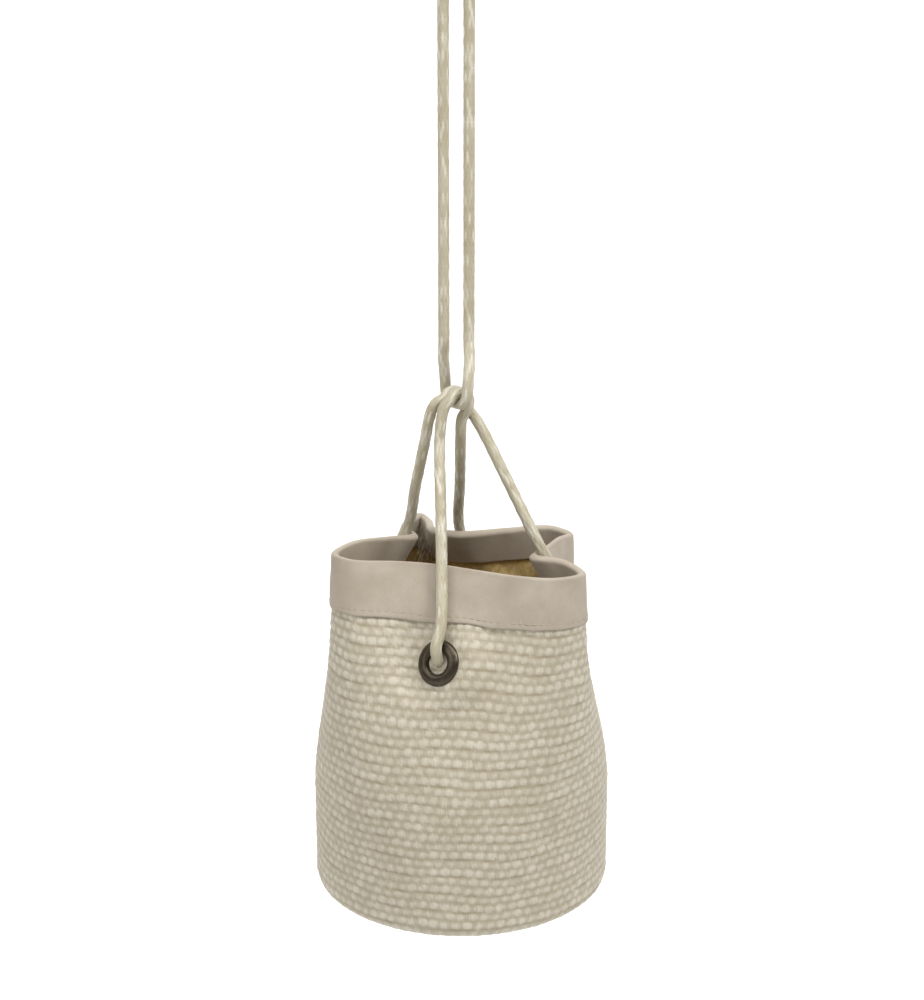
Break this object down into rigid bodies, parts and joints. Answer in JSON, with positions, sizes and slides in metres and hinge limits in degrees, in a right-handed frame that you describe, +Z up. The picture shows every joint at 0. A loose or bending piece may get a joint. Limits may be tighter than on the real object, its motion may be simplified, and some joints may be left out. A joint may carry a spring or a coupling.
{
  "type": "hanging planter",
  "caption": "Round woven fabric planter bag with a bound, folded rim, hung through eyelets by two crossing cord slings from one long cord loop.",
  "frame": {"origin": "the inside top of the hanging loop, where a hook or nail bears", "axes": "+Z up, front towards -Y, +X to the right as seen from the front; the rim is 287 mm below the origin and the base 447 mm below it"},
  "size_m": [0.1392, 0.1392, 0.4531],
  "materials": {
    "cord": "waxed braided cotton cord, light straw, slight gloss",
    "woven_cloth": "coarse plain weave of thick straw-white yarn, matt with glossy flecks",
    "twill_tape": "smooth cotton twill tape, warm beige, matt",
    "sewing_thread": "matt cream sewing thread",
    "eyelet_metal": "dark antique brass, semi-gloss, worn lighter on the rolled edge"
  },
  "bodies": {
    "loop": {"loop_strand_left": "cord", "loop_strand_right": "cord", "loop_top_bight": "cord", "loop_join_knot": "cord"},
    "hitch": {"loop_lower_bight": "cord"},
    "bag": {"sling_front_back": "cord", "sling_left_right": "cord", "stopper_knot_front": "cord", "stopper_knot_right": "cord", "stopper_knot_back": "cord", "stopper_knot_left": "cord", "eyelet_front": "eyelet_metal", "eyelet_right": "eyelet_metal", "eyelet_back": "eyelet_metal", "eyelet_left": "eyelet_metal", "washer_front": "eyelet_metal", "washer_right": "eyelet_metal", "washer_back": "eyelet_metal", "washer_left": "eyelet_metal", "woven_wall": "woven_cloth", "rim_binding": "twill_tape", "rim_stitching": "sewing_thread", "side_seam_tape": "twill_tape", "base_panel": "woven_cloth", "base_seam_tape": "twill_tape", "base_stitching": "sewing_thread"}
  },
  "joints": [
    {"name": "bag_twist", "type": "hinge", "parent": "loop", "child": "hitch", "pos_m": [0, 0, -0.188], "axis": [0, 0, 1], "range_deg": [-180, 180], "stiffness_Nm_per_rad": 0.00015},
    {"name": "bag_swing", "type": "hinge", "parent": "hitch", "child": "bag", "pos_m": [0, 0, -0.218], "axis": [-0.5299, 0.848, 0], "range_deg": [-20, 20]}
  ]
}
